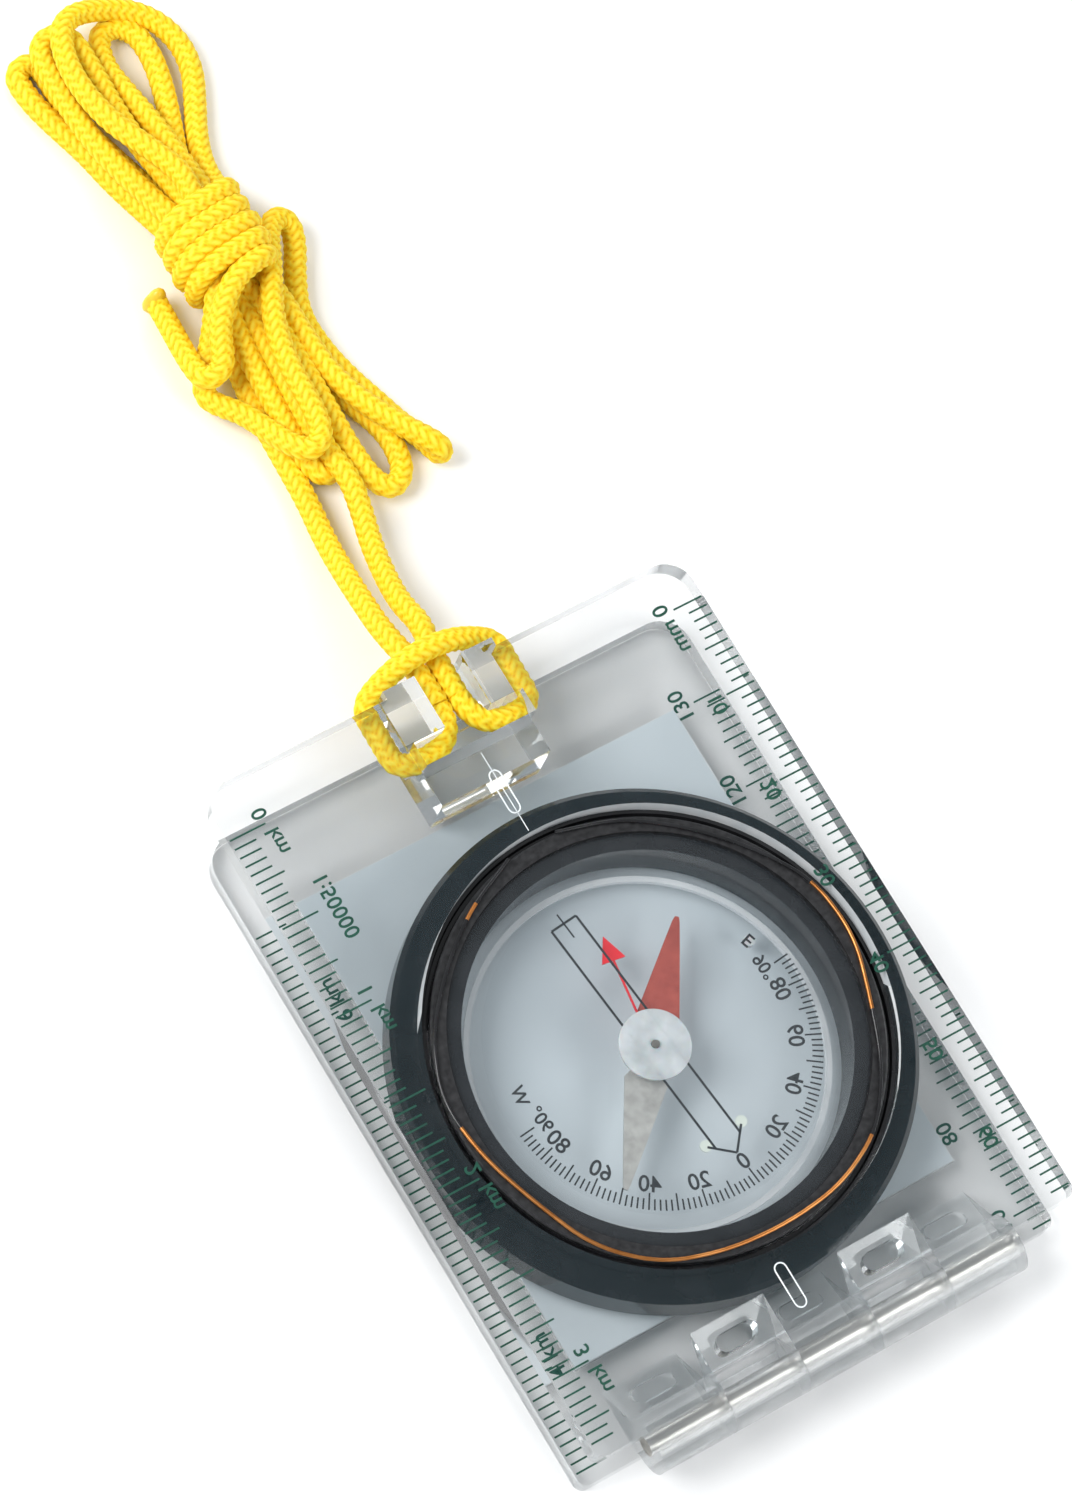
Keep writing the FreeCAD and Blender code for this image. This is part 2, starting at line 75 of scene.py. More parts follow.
def add_camera():
    camera = bpy.data.objects.new("camera", bpy.data.cameras.new("camera"))
    bpy.context.scene.collection.objects.link(camera)
    forward = Vector((0.3427, 0.2121, -0.9152)).normalized()
    up = Vector((0.4271, 0.8325, 0.3529)).normalized()
    right = forward.cross(up).normalized()
    up = right.cross(forward)
    turn = Matrix((right, up, -forward)).transposed().to_4x4()
    place = Vector((-201.2, -99.9, 559.2)) * MM
    camera.matrix_world = Matrix.Translation(place) @ turn
    camera.data.sensor_fit = "HORIZONTAL"
    camera.data.sensor_width = 36.0
    camera.data.lens = 208.1
    camera.data.clip_start = 0.01
    camera.data.clip_end = 20.0
    bpy.context.scene.camera = camera


# Cord routes, listed point by point. The strands and the tail are near the CAD's cords, but not the
# same.

LEFT_STRAND = [
    (-1.15, 36.2, 8.15), (-1.15, 41.4, 8.15), (-1.5, 45.6, 6.7), (-1.0, 49.8, 4.8),
    (-0.5, 53.5, 3.2), (0.1, 57.8, 1.7), (0.9, 62.5, 1.1),
]
RIGHT_STRAND = [
    (1.15, 36.2, 8.15), (1.15, 41.2, 8.15), (2.2, 44.4, 7.3), (2.1, 47.6, 5.6), (2.7, 51.0, 4.1),
    (3.7, 55.3, 2.9), (4.8, 59.0, 2.7), (5.3, 62.4, 3.2), (4.7, 66.0, 3.3), (4.6, 70.5, 3.2),
    (4.7, 75.0, 3.2), (5.0, 80.0, 3.6), (5.0, 85.6, 3.5),
]
HALF_HITCH = [
    (1.15, 36.2, 8.15), (1.15, 32.35, 8.15), (7.8, 32.0, 7.2), (7.75, 36.2, 7.2),
    (7.8, 39.6, 7.5), (5.0, 40.7, 9.0), (1.9, 41.2, 10.5),
]
# The first entry enters the hank. Each of the others runs from its middle to a loop at one end
# and back.
HANK_TURNS = [
    [(1.1, 68.0, 1.1), (1.3, 74.0, 1.1), (2.2, 80.0, 1.2), (3.1, 85.0, 2.3), (3.3, 89.0, 2.7),
     (2.9, 93.0, 2.5)],
    [(2.0, 97.5, 1.3), (0.9, 101.5, 1.1), (0.1, 105.5, 1.1), (-1.2, 109.5, 1.1),
     (-2.1, 113.0, 1.1), (-2.2, 116.4, 1.1), (0.7, 116.6, 1.2),
     (0.7, 112.0, 1.1), (0.9, 108.5, 1.1), (2.1, 104.5, 1.1), (3.6, 99.5, 1.2),
     (4.7, 95.5, 2.0), (5.2, 91.0, 2.7), (5.2, 86.5, 2.6)],
    [(5.6, 82.0, 1.4), (6.0, 76.0, 1.1), (6.1, 70.0, 1.1), (5.9, 66.2, 1.2), (5.3, 64.1, 1.4),
     (3.1, 64.0, 1.8), (2.5, 67.4, 2.5), (2.6, 74.0, 3.1), (2.9, 80.0, 3.4), (3.5, 85.0, 4.2),
     (3.7, 89.0, 4.4), (3.7, 93.0, 4.2)],
    [(2.9, 96.5, 3.6), (1.8, 100.5, 3.3), (0.8, 104.5, 3.3), (0.4, 108.5, 3.3),
     (0.4, 112.5, 3.3), (0.6, 117.3, 3.3), (4.5, 117.5, 3.2), (4.6, 112.0, 3.1),
     (4.4, 107.5, 3.1), (4.7, 103.0, 3.1), (5.4, 98.0, 3.3),
     (5.7, 93.5, 4.2), (5.7, 89.0, 4.4), (6.1, 85.0, 4.2)],
    [(7.0, 81.0, 3.4), (7.2, 75.0, 3.2), (7.1, 69.0, 3.0), (7.2, 64.5, 2.4), (7.8, 61.0, 1.8),
     (9.4, 59.7, 1.4), (11.3, 61.0, 1.2), (11.9, 63.9, 1.1), (11.6, 66.4, 1.1),
     (10.4, 69.6, 1.1), (9.0, 74.5, 1.1), (8.2, 79.0, 1.2), (7.5, 84.0, 2.2),
     (7.1, 88.5, 2.7), (7.1, 92.5, 2.6)],
    [(7.4, 96.5, 1.6), (8.0, 100.5, 1.2), (9.6, 104.7, 1.2), (10.9, 108.5, 1.2),
     (11.6, 112.0, 1.2), (11.4, 115.0, 1.2), (9.7, 116.6, 1.2), (7.6, 116.2, 1.2),
     (6.6, 113.0, 1.3), (6.8, 109.5, 2.0), (7.3, 104.5, 2.9), (7.6, 99.5, 3.2),
     (7.8, 94.5, 4.0), (7.7, 90.0, 4.4), (7.9, 86.0, 4.2)],
    [(8.9, 82.0, 3.6), (9.0, 77.0, 3.2), (9.4, 72.5, 3.1), (10.8, 68.5, 3.1),
     (12.7, 65.0, 3.3), (15.4, 60.9, 3.4), (15.5, 60.8, 1.1), (14.9, 63.0, 1.1),
     (13.7, 65.6, 1.1), (12.7, 68.8, 1.1), (11.6, 72.0, 1.1), (10.7, 76.0, 1.1),
     (10.5, 80.4, 1.3), (12.2, 84.2, 1.4), (13.9, 86.9, 1.6), (14.5, 89.2, 2.2),
     (13.1, 90.2, 3.2), (11.2, 88.7, 4.1), (9.9, 86.4, 5.0), (8.6, 84.0, 5.6)],
    [(6.9, 81.2, 5.7), (5.6, 77.5, 5.4), (5.2, 73.5, 5.2), (5.1, 69.5, 5.2), (4.5, 66.8, 5.2),
     (2.9, 65.9, 4.9), (1.4, 67.4, 4.4), (0.4, 70.3, 3.4), (-0.6, 73.0, 2.8),
     (-2.1, 74.9, 2.4), (-3.0, 76.4, 2.2), (-2.2, 78.4, 2.6), (-0.5, 80.2, 3.2),
     (1.1, 82.3, 4.2), (2.8, 85.0, 5.6), (4.4, 88.0, 6.0), (5.4, 91.5, 6.0),
     (6.0, 95.0, 5.6)],
    [(6.2, 98.0, 5.3), (4.6, 101.8, 5.3), (2.8, 105.3, 5.3), (1.9, 109.0, 5.3),
     (1.8, 113.0, 5.2), (2.9, 116.6, 5.0), (5.0, 118.3, 4.2), (7.9, 118.3, 3.3),
     (11.2, 117.4, 2.3), (13.9, 115.2, 1.5), (15.0, 112.0, 1.2), (14.6, 108.7, 1.1),
     (13.0, 105.5, 1.1), (11.2, 102.2, 1.1), (10.0, 98.8, 1.4), (9.8, 95.6, 2.2)],
]
TAIL = [
    (4.4, 84.6, 8.0), (2.4, 83.2, 7.4), (0.6, 81.0, 6.2), (-0.7, 77.3, 5.3), (-3.0, 77.2, 4.6),
    (-3.0, 80.0, 3.8), (-2.6, 82.8, 2.9), (-2.2, 85.2, 2.1), (-1.9, 87.9, 1.5),
]


WRAP_X = 5.35
WRAP_Y = 90.0
WRAP_Z = 4.65
WRAP_HALF_WIDTH = 4.5
WRAP_HALF_HEIGHT = 3.55
WRAP_TAPER = 0.09
WRAP_SLANT = 0.35
WRAP_UNEVENNESS = 0.16
WRAP_UNEVEN_PACE = 1.7
WRAP_ROUNDING = 0.75


def squared(value):
    """A sine or cosine pushed outward, which turns a circle into a rounded box."""
    return math.copysign(abs(value) ** WRAP_ROUNDING, value)


def wrap_turns(count=4.25, first=93.6, pitch=2.0, steps=10):
    """Binding turns round the middle of the hank, from its right side over the top."""
    points = []
    for i in range(int(count * steps) + 1):
        angle = 2 * math.pi * i / steps
        y = first - pitch * i / steps
        uneven = WRAP_UNEVENNESS * math.sin(WRAP_UNEVEN_PACE * angle)
        half_width = WRAP_HALF_WIDTH - WRAP_TAPER * abs(y - WRAP_Y) + uneven
        x = WRAP_X + half_width * squared(math.cos(angle))
        z = WRAP_Z + WRAP_HALF_HEIGHT * squared(math.sin(angle))
        points.append((x, y + WRAP_SLANT * math.cos(angle), z))
    return points


def lanyard_route():
    route = list(LEFT_STRAND)
    for turn in HANK_TURNS:
        route += turn
    return [(x, y, z + LANYARD_LIFT) for x, y, z in route + wrap_turns() + TAIL]


def hitch_route():
    return HALF_HITCH + [(-x, y, z) for x, y, z in reversed(HALF_HITCH)]


def centreline(name, points):
    """Points along a NURBS curve through the route's control points, in metres."""
    curve = bpy.data.curves.new(name + "_route", "CURVE")
    curve.dimensions = "3D"
    curve.resolution_u = 24
    spline = curve.splines.new("NURBS")
    spline.points.add(len(points) - 1)
    for point, place in zip(spline.points, points):
        point.co = (*(c * MM for c in place), 1.0)
    spline.order_u = 3
    spline.use_endpoint_u = True
    holder = bpy.data.objects.new(name + "_route", curve)
    mesh = bpy.data.meshes.new_from_object(holder)
    line = [v.co.copy() for v in mesh.vertices]
    bpy.data.objects.remove(holder)
    bpy.data.curves.remove(curve)
    bpy.data.meshes.remove(mesh)
    return line


def even_steps(line, step):
    """The same line with points a step apart."""
    places, carried = [line[0].copy()], 0.0
    for a, b in zip(line, line[1:]):
        run = (b - a).length
        while carried + run >= step:
            a = a + (b - a).normalized() * (step - carried)
            run = (b - a).length
            carried = 0.0
            places.append(a.copy())
        carried += run
    return places


def braid_height(along, angle):
    """How far the plaits stand up, from 0 in the seams to 1 on the ribs that meet in V shapes."""
    fullness = 0.6
    seam_share = 0.3
    column = (angle / (2 * math.pi) * BRAID_COLUMNS) % 2
    zigzag = column if column < 1 else 2 - column
    phase = along / BRAID_PITCH + zigzag * BRAID_SLANT
    rib = abs(math.cos(math.pi * phase)) ** fullness
    seam = 0.5 + 0.5 * math.cos(2 * math.pi * column)
    return rib * (1 - seam_share * seam)


def braided_cord(name, points, ring=24, step=0.16):
    """A braided tube round the route, with its plaits' height stored for the colour, which paints
    shade into the seams and highlights onto the ribs.
    """
    line = even_steps(centreline(name, points), step * MM)
    length = step * (len(line) - 1)
    bm = bmesh.new()
    shade = bm.verts.layers.float_color.new("plait_painted_shading")
    side = Vector((0.0, 0.0, 1.0))
    rings = []
    for i, place in enumerate(line):
        ahead = line[min(i + 1, len(line) - 1)] - line[max(i - 1, 0)]
        ahead.normalize()
        side = side - ahead * side.dot(ahead)
        side.normalize()
        other = ahead.cross(side)
        verts = []
        for j in range(ring):
            angle = 2 * math.pi * j / ring
            rise = braid_height(step * i, angle)
            radius = CORD_DIAMETER / 2 - BRAID_SEAM_DEPTH + BRAID_RELIEF * rise
            out = side * math.cos(angle) + other * math.sin(angle)
            vert = bm.verts.new(place + out * radius * MM)
            vert[shade] = (rise, rise, rise, 1.0)
            verts.append(vert)
        rings.append(verts)
    for a, b in zip(rings, rings[1:]):
        for j in range(ring):
            k = (j + 1) % ring
            bm.faces.new((a[j], a[k], b[k], b[j]))
    bm.faces.new(list(reversed(rings[0])))
    bm.faces.new(rings[-1])
    obj = finished(name, bm, cord_material(), "base", smooth=True)
    return obj, line, length


def flared_tip(line):
    """The melted end of the tail: an uneven flare, darker than the braid."""
    radius = 1.55
    width, depth, height = 1.12, 0.85, 0.55
    lobe_rise = 0.13
    lobe_turn = 0.6
    bm = bmesh.new()
    bmesh.ops.create_uvsphere(bm, u_segments=20, v_segments=12, radius=radius * MM)
    for vert in bm.verts:
        around = math.atan2(vert.co.y, vert.co.x)
        lobes = 1 + lobe_rise * math.sin(3 * around + lobe_turn)
        vert.co.x *= lobes * width
        vert.co.y *= lobes * depth
        vert.co.z *= height
    ahead = (line[-1] - line[-4]).normalized()
    turn = ahead.to_track_quat("Z", "X").to_matrix().to_4x4()
    bm.transform(Matrix.Translation(line[-1] + ahead * 0.2 * MM) @ turn)
    return finished("cord_melted_tip", bm, tip_material(), "base", smooth=True)


def add_cords():
    lanyard, line, length = braided_cord("lanyard", lanyard_route())
    strand, strand_line, strand_length = braided_cord("lanyard_second_strand", RIGHT_STRAND)
    hitch, hitch_line, hitch_length = braided_cord("lanyard_hitch", hitch_route())
    tip = flared_tip(line)
    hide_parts("cord_strand_left", "cord_hank_upper", "cord_hank_lower", "cord_wrap",
                "cord_tail")
    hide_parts("cord_strand_right")
    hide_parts("cord_hitch")
    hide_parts("cord_tip")
    print(f"lanyard {length:.0f} mm, second strand {strand_length:.0f}, hitch {hitch_length:.0f}")


# Materials

def new_material(name, **values):
    """A Principled material. Names with an underscore stand for sockets with spaces."""
    material = bpy.data.materials.new(name)
    material.use_nodes = True
    shader = material.node_tree.nodes["Principled BSDF"]
    for key, value in values.items():
        shader.inputs[key.replace("_", " ")].default_value = value
    return material, material.node_tree, shader


def noise_between(tree, shader, low, high, scale, detail=3.0, stretch=None):
    """Drives the base colour with noise that runs between two colours."""
    coords = tree.nodes.new("ShaderNodeTexCoord")
    noise = tree.nodes.new("ShaderNodeTexNoise")
    noise.inputs["Scale"].default_value = scale
    noise.inputs["Detail"].default_value = detail
    place = coords.outputs["Object"]
    if stretch:
        mapping = tree.nodes.new("ShaderNodeMapping")
        mapping.inputs["Scale"].default_value = stretch
        tree.links.new(place, mapping.inputs["Vector"])
        place = mapping.outputs["Vector"]
    tree.links.new(place, noise.inputs["Vector"])
    ramp = tree.nodes.new("ShaderNodeValToRGB")
    ramp.color_ramp.elements[0].position = 0.3
    ramp.color_ramp.elements[1].position = 0.7
    ramp.color_ramp.elements[0].color = low
    ramp.color_ramp.elements[1].color = high
    tree.links.new(noise.outputs["Fac"], ramp.inputs["Fac"])
    tree.links.new(ramp.outputs["Color"], shader.inputs["Base Color"])
    return noise


def bumped(tree, shader, noise, strength, distance):
    bump = tree.nodes.new("ShaderNodeBump")
    bump.inputs["Strength"].default_value = strength
    bump.inputs["Distance"].default_value = distance
    tree.links.new(noise.outputs["Fac"], bump.inputs["Height"])
    tree.links.new(bump.outputs["Normal"], shader.inputs["Normal"])


def once(make):
    """Makes each material only the first time that it is asked for."""
    made = []

    def get():
        if not made:
            made.append(make())
        return made[0]

    return get


# A Mix node's colour sockets share their names with its number sockets, so they go by place.
MIX_FIRST = 6
MIX_SECOND = 7
MIX_RESULT = 2


@once
def cord_material():
    material, tree, shader = new_material(
        "yellow_braid", Roughness=0.65, Specular_IOR_Level=0.25
    )
    noise = noise_between(tree, shader, (0.88, 0.88, 0.88, 1), (1.0, 1.0, 1.0, 1), 1200.0)
    # Painted shade and highlight: the plaits' height turns the braid dark orange in its seams and
    # pale yellow on its ribs.
    plait_painted_shading = tree.nodes.new("ShaderNodeAttribute")
    plait_painted_shading.attribute_name = "plait_painted_shading"
    ramp = tree.nodes.new("ShaderNodeValToRGB")
    ramp.color_ramp.elements[0].position = 0.1
    ramp.color_ramp.elements[0].color = (0.86, 0.36, 0.0, 1)
    ramp.color_ramp.elements[1].position = 0.95
    ramp.color_ramp.elements[1].color = (1.0, 0.84, 0.07, 1)
    middle = ramp.color_ramp.elements.new(0.5)
    middle.color = (1.0, 0.64, 0.006, 1)
    tree.links.new(plait_painted_shading.outputs["Fac"], ramp.inputs["Fac"])
    mix = tree.nodes.new("ShaderNodeMix")
    mix.data_type = "RGBA"
    mix.blend_type = "MULTIPLY"
    mix.inputs["Factor"].default_value = 1.0
    tree.links.new(ramp.outputs["Color"], mix.inputs[MIX_FIRST])
    tree.links.new(shader.inputs["Base Color"].links[0].from_socket, mix.inputs[MIX_SECOND])
    tree.links.new(mix.outputs[MIX_RESULT], shader.inputs["Base Color"])
    bumped(tree, shader, noise, 0.2, 0.0001)
    return material


@once
def tip_material():
    material, tree, shader = new_material("melted_cord", Roughness=0.35)
    noise_between(tree, shader, (0.62, 0.4, 0.01, 1), (0.9, 0.66, 0.05, 1), 500.0)
    return material


@once
def acrylic():
    material, tree, shader = new_material(
        "clear_acrylic", Roughness=0.015, IOR=1.49, Transmission_Weight=1.0
    )
    noise_between(tree, shader, (0.90, 0.935, 0.945, 1), (0.915, 0.95, 0.96, 1), 40.0)
    return material


@once
def sheet_acrylic():
    """The same plastic on the leaves' broad faces, where it only dims what lies behind."""
    material, tree, shader = new_material("acrylic_sheet", Roughness=0.03, IOR=1.49, Alpha=0.085)
    noise_between(tree, shader, (0.02, 0.06, 0.075, 1), (0.03, 0.075, 0.095, 1), 40.0)
    return material


@once
def knuckle_acrylic():
    """The same plastic where the mould left it a little milky, round the pin."""
    material, tree, shader = new_material(
        "milky_acrylic", Roughness=0.07, IOR=1.49, Alpha=0.55, Transmission_Weight=0.85
    )
    noise_between(tree, shader, (0.8, 0.85, 0.87, 1), (0.94, 0.96, 0.97, 1), 320.0)
    return material


@once
def marks_and_painted_edge_highlight():
    """Pale, opaque plastic for the index marks, and a painted highlight on one arc of the dial
    hole's edge.
    """
    material, tree, shader = new_material("marks_and_painted_edge_highlight", Roughness=0.2, IOR=1.49)
    noise_between(tree, shader, (0.78, 0.84, 0.87, 1), (0.97, 0.99, 1.0, 1), 500.0)
    return material


@once
def capsule_clear():
    material, tree, shader = new_material("clear_capsule", Roughness=0.04, IOR=1.45, Alpha=0.03)
    noise_between(tree, shader, (0.16, 0.22, 0.26, 1), (0.24, 0.3, 0.34, 1), 60.0)
    return material


@once
def seal_plastic():
    """The pale, half clear seal round the capsule."""
    material, tree, shader = new_material("seal_plastic", Roughness=0.06, IOR=1.45, Alpha=0.5)
    noise_between(tree, shader, (0.74, 0.79, 0.82, 1), (0.9, 0.93, 0.95, 1), 90.0)
    return material


@once
def mirror_silver():
    material, tree, shader = new_material("mirror_silver", Roughness=0.03, Metallic=1.0)
    noise_between(tree, shader, (0.80, 0.85, 0.87, 1), (0.84, 0.88, 0.9, 1), 30.0)
    return material


@once
def mirror_paint():
    material, tree, shader = new_material("mirror_paint", Roughness=0.35)
    noise_between(tree, shader, (0.56, 0.63, 0.67, 1), (0.66, 0.725, 0.76, 1), 14.0)
    return material


@once
def steel():
    material, tree, shader = new_material("pin_steel", Metallic=1.0, Roughness=0.3)
    noise = noise_between(tree, shader, (0.26, 0.245, 0.22, 1), (0.62, 0.6, 0.56, 1), 300.0,
                          stretch=(0.1, 3.0, 3.0))
    bumped(tree, shader, noise, 0.15, 0.0001)
    return material


@once
def black_plastic():
    material, tree, shader = new_material("black_plastic", Roughness=0.42)
    noise = noise_between(tree, shader, (0.006, 0.006, 0.007, 1), (0.028, 0.028, 0.03, 1), 1500.0,
                          detail=5.0)
    bumped(tree, shader, noise, 0.35, 0.0001)
    return material


@once
def glossy_black():
    material, tree, shader = new_material("glossy_black", Roughness=0.16)
    noise_between(tree, shader, (0.008, 0.008, 0.009, 1), (0.018, 0.018, 0.02, 1), 300.0)
    return material


@once
def copper():
    material, tree, shader = new_material("copper_wire", Metallic=1.0, Roughness=0.4)
    noise_between(tree, shader, (0.42, 0.15, 0.04, 1), (0.68, 0.29, 0.09, 1), 400.0)
    return material


@once
def white_translucent():
    material, tree, shader = new_material(
        "white_translucent", Roughness=0.25, Subsurface_Weight=0.3, Subsurface_Scale=0.001,
        Alpha=0.8
    )
    noise_between(tree, shader, (0.50, 0.545, 0.565, 1), (0.74, 0.785, 0.80, 1), 420.0)
    return material


@once
def luminous():
    material, tree, shader = new_material("luminous_paint", Roughness=0.6)
    noise_between(tree, shader, (0.56, 0.62, 0.56, 1), (0.66, 0.72, 0.66, 1), 900.0)
    return material


@once
def brass():
    material, tree, shader = new_material("turned_brass", Metallic=1.0, Roughness=0.3)
    noise_between(tree, shader, (0.6, 0.42, 0.18, 1), (0.8, 0.6, 0.3, 1), 500.0)
    return material


@once
def jewel():
    material, tree, shader = new_material(
        "jewel", Roughness=0.05, Transmission_Weight=0.5, IOR=1.76
    )
    noise_between(tree, shader, (0.5, 0.05, 0.08, 1), (0.65, 0.08, 0.12, 1), 800.0)
    return material


@once
def needle_red():
    material, tree, shader = new_material("needle_red", Roughness=0.5)
    noise = noise_between(tree, shader, (0.30, 0.045, 0.03, 1), (0.42, 0.075, 0.05, 1), 900.0)
    bumped(tree, shader, noise, 0.2, 0.0001)
    return material


@once
def needle_grey():
    material, tree, shader = new_material("needle_grey", Roughness=0.5, Metallic=0.2)
    noise = noise_between(tree, shader, (0.36, 0.36, 0.34, 1), (0.5, 0.5, 0.48, 1), 900.0)
    bumped(tree, shader, noise, 0.2, 0.0001)
    return material


@once
def arrow_red():
    material, tree, shader = new_material("arrow_red", Roughness=0.35)
    noise_between(tree, shader, (0.7, 0.01, 0.02, 1), (0.82, 0.02, 0.03, 1), 500.0)
    return material


@once
def green_ink():
    material, tree, shader = new_material("green_ink", Roughness=0.5)
    noise_between(tree, shader, (0.002, 0.05, 0.03, 1), (0.006, 0.08, 0.05, 1), 900.0)
    return material


@once
def black_ink():
    material, tree, shader = new_material("black_ink", Roughness=0.5)
    noise_between(tree, shader, (0.008, 0.008, 0.01, 1), (0.02, 0.02, 0.022, 1), 900.0)
    return material


# Meshes

def finished(name, bm, material, body, smooth=False):
    mesh = bpy.data.meshes.new(name)
    bm.to_mesh(mesh)
    bm.free()
    mesh.materials.append(material)
    for polygon in mesh.polygons:
        polygon.use_smooth = smooth
    obj = bpy.data.objects.new(name, mesh)
    bpy.context.scene.collection.objects.link(obj)
    if body:
        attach(obj, body)
    return obj


def prism(bm, corners, low, high):
    """Adds a flat piece with the outline given in millimetres."""
    bottom = [bm.verts.new(Vector((x, y, low)) * MM) for x, y in corners]
    top = [bm.verts.new(Vector((x, y, high)) * MM) for x, y in corners]
    count = len(corners)
    bm.faces.new(list(reversed(bottom)))
    bm.faces.new(top)
    for i in range(count):
        j = (i + 1) % count
        bm.faces.new((bottom[i], bottom[j], top[j], top[i]))


LETTER_BOLDNESS = 0.03


class Print:
    """One colour of printing on one face. Marks are gathered, then made one thin piece."""

    def __init__(self, name, material, body, level, mirrored):
        self.bm = bmesh.new()
        self.name = name
        self.material = material
        self.body = body
        self.level = level
        self.mirrored = mirrored

    def line(self, start, end, width):
        a, b = Vector(start), Vector(end)
        along = (b - a).normalized()
        across = Vector((-along.y, along.x)) * width / 2
        prism(self.bm, [a - across, b - across, b + across, a + across],
              self.level, self.level + PRINT_THICKNESS)

    def rounded_frame(self, x, y, half_width, half_length, width):
        """An open oval with straight sides."""
        straight = half_length - half_width
        ends = []
        for sign, first in ((1, 0), (-1, 180)):
            for i in range(7):
                angle = math.radians(first + 30 * i)
                ends.append((x + half_width * math.cos(angle),
                             y + sign * straight + half_width * math.sin(angle)))
        for a, b in zip(ends, ends[1:] + ends[:1]):
            self.line(a, b, width)

    def text(self, words, x, y, size, turn):
        """Words centred on a point, turned by degrees, and reversed on a face seen through."""
        data = bpy.data.curves.new("words", "FONT")
        data.body = words
        data.size = size * MM
        data.align_x = "CENTER"
        data.align_y = "CENTER"
        data.extrude = PRINT_THICKNESS / 2 * MM
        data.offset = LETTER_BOLDNESS * MM
        data.resolution_u = 4
        holder = bpy.data.objects.new("words", data)
        mesh = bpy.data.meshes.new_from_object(holder)
        place = Matrix.Translation(Vector((x, y, self.level + PRINT_THICKNESS / 2)) * MM)
        flip = Matrix.Diagonal((-1, 1, 1, 1)) if self.mirrored else Matrix.Identity(4)
        mesh.transform(place @ Matrix.Rotation(math.radians(turn), 4, "Z") @ flip)
        if self.mirrored:
            mesh.flip_normals()
        self.bm.from_mesh(mesh)
        bpy.data.objects.remove(holder)
        bpy.data.curves.remove(data)
        bpy.data.meshes.remove(mesh)

    def done(self):
        obj = finished(self.name, self.bm, self.material, self.body)
        return obj


def on_dial(radius, angle):
    """A point on the dial, with the angle in degrees measured on the dial itself."""
    turn = math.radians(angle + DIAL_TURN)
    return Vector((radius * math.cos(turn), DIAL_Y + radius * math.sin(turn)))


def about_dial_axis(x, y, degrees):
    """A point given across and along, turned by degrees about the dial's axis."""
    turn = math.radians(degrees)
    return Vector((x * math.cos(turn) - y * math.sin(turn),
                   DIAL_Y + x * math.sin(turn) + y * math.cos(turn)))


def dial_point(x, y):
    """A point given across and along the dial's own orienting lines."""
    return about_dial_axis(x, y, DIAL_TURN)


def add_mirror():
    """The mirror faces outward, so its painted back shows between the leaves."""
    side = 21.95
    low = -26.15
    high = 26.45
    outline = [(-side, low), (side, low), (side, high), (-side, high)]
    glass = bmesh.new()
    prism(glass, outline, MIRROR_FACE, LID_TOP)
    mirror = finished("mirror_glass", glass, mirror_silver(), "lid")
    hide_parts("mirror")
    paint = bmesh.new()
    prism(paint, outline, LID_TOP, LID_TOP + PRINT_THICKNESS)
    finished("mirror_backing", paint, mirror_paint(), "lid")


# Printing

RULER_EDGE = 27.3
TICK_WIDTH = 0.19
KILOMETRE = 20
FINE_LINE = 0.17
BOLD_LINE = 0.24
NUMBER_SIZE = 2.3
SMALL_NUMBER_SIZE = 2.2
BEARING_SIZE = 1.9
SIDEWAYS = 90


def tick_length(i, short, long):
    """Every tenth tick is long, and the fifth ones between are of middle length."""
    if i % 10 == 0:
        return long
    if i % 5 == 0:
        return (short + long) / 2
    return short


def ruler_ticks(ink, side, first, count, short, long):
    """Millimetre ticks from one edge of a leaf inward. The side is 1 or -1."""
    edge = side * RULER_EDGE
    for i in range(count + 1):
        y = first - i
        ink.line((edge, y), (edge - side * tick_length(i, short, long), y), TICK_WIDTH)


def base_print():
    number_x = 22.8
    kilometre_x = -23.3
    unit_x = -23.1
    ink = Print("base_ruler_print", green_ink(), "base", BASE_TOP, mirrored=True)
    ruler_ticks(ink, side=1, first=33.4, count=68, short=2.1, long=3.3)
    ruler_ticks(ink, side=-1, first=32.8, count=67, short=2.4, long=4.0)
    ink.text("0 mm", number_x, 31.8, NUMBER_SIZE, SIDEWAYS)
    for value in range(10, 70, 10):
        ink.text(str(value), number_x, 33.0 - value, SMALL_NUMBER_SIZE, SIDEWAYS)
    for value in range(4):
        down = KILOMETRE * value
        ink.text(str(value), kilometre_x, 33.9 - down, SMALL_NUMBER_SIZE, SIDEWAYS)
        ink.text("km", unit_x, 30.7 - down, SMALL_NUMBER_SIZE, SIDEWAYS)
    ink.text("1:50000", -21.4, 22.5, SMALL_NUMBER_SIZE, SIDEWAYS)
    ink.done()
    marks = Print("base_centre_lines", marks_and_painted_edge_highlight(), "base", BASE_TOP, mirrored=True)
    for x, y in ((-0.9, 24.9), (-2.3, -30.2)):
        marks.rounded_frame(x, y, half_width=0.6, half_length=2.4, width=0.14)
    marks.line((-0.9, 20.4), (-0.9, 29.4), 0.08)
    marks.done()


def lid_print():
    number_130_y = 26.4
    kilometre_6_y = 16.2
    ink = Print("lid_ruler_print", green_ink(), "lid", LID_TOP, mirrored=False)
    ruler_ticks(ink, side=1, first=26.2, count=62, short=2.1, long=3.1)
    ruler_ticks(ink, side=-1, first=25.1, count=60, short=1.9, long=3.4)
    for value in range(70, 140, 10):
        ink.text(str(value), 22.9, number_130_y - (130 - value), NUMBER_SIZE, SIDEWAYS)
    for value in range(4, 7):
        y = kilometre_6_y + (value - 6) * KILOMETRE
        ink.text(f"{value} km", -23.5, y, NUMBER_SIZE, SIDEWAYS)
    ink.done()


